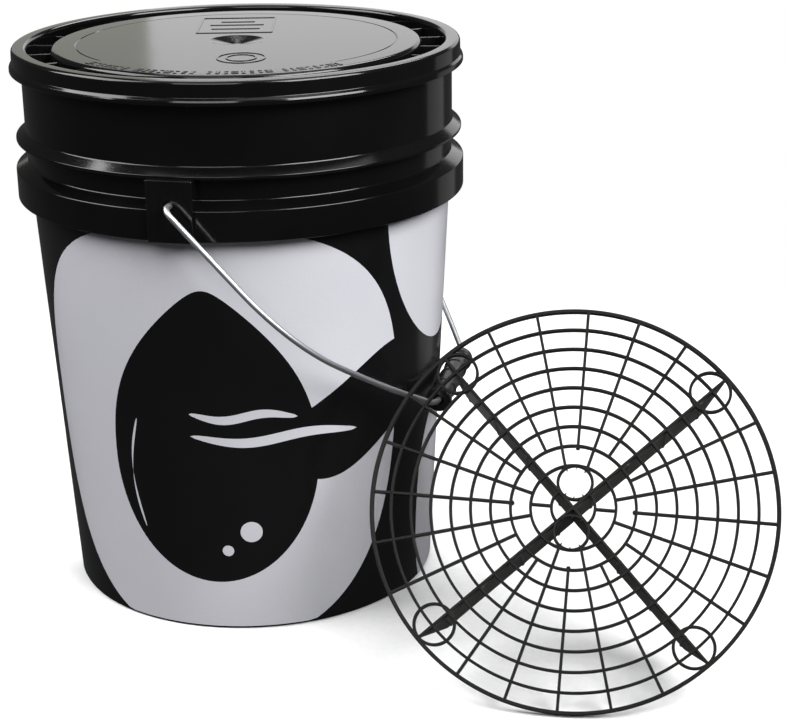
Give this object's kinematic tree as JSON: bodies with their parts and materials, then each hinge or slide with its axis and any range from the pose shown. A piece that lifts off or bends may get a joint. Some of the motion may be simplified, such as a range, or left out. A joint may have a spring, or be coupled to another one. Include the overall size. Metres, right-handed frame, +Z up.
{
  "type": "wash bucket",
  "caption": "Tapered plastic wash bucket with a printed wrap, a press-on lid, a wire bail with a plastic grip, and a round grit-trap grille standing beside it.",
  "frame": {"origin": "centre of the foot ring, on the surface that the bucket stands on", "axes": "+Z up the bucket's axis; the bail's pivot lies along Y; the resting bail and the grit trap are on the +X side"},
  "size_m": [0.5357, 0.3743, 0.3821],
  "materials": {
    "pail_plastic": "glossy black moulded polypropylene with faint scuffs",
    "label_film": "satin printed film, black and pale grey-lilac areas",
    "lid_plastic": "semi-gloss black moulded plastic with a fine texture on the disc",
    "seal_rubber": "matt dark foam rubber",
    "bail_steel": "bright zinc-plated drawn wire",
    "grip_plastic": "satin black moulded plastic",
    "trap_plastic": "satin black moulded plastic, slightly shiny on the bar tops"
  },
  "bodies": {
    "bucket": {"pail_body": "pail_plastic", "pail_collar": "pail_plastic", "label_wrap": "label_film"},
    "lid_unit": {"lid": "lid_plastic", "lid_gasket": "seal_rubber"},
    "bail": {"bail_wire": "bail_steel"},
    "grip": {"bail_grip": "grip_plastic"},
    "trap": {"trap_grille": "trap_plastic", "trap_vane_slotted_back": "trap_plastic", "trap_vane_slotted_front": "trap_plastic"}
  },
  "joints": [
    {"name": "lid_lift", "type": "slide", "parent": "bucket", "child": "lid_unit", "axis": [0, 0, 1], "range_m": [0, 0.2]},
    {"name": "bail_swing", "type": "hinge", "parent": "bucket", "child": "bail", "pos_m": [0, 0, 0.305], "axis": [0, -1, 0], "range_deg": [0, 275]},
    {"name": "grip_spin", "type": "hinge", "parent": "bail", "child": "grip", "pos_m": [0.14694, 0, 0.14464], "axis": [0, 1, 0], "continuous": true},
    {"name": "trap_slide", "type": "slide", "parent": "bucket", "child": "trap", "axis": [1, 0, 0], "range_m": [0, 0.25]}
  ]
}
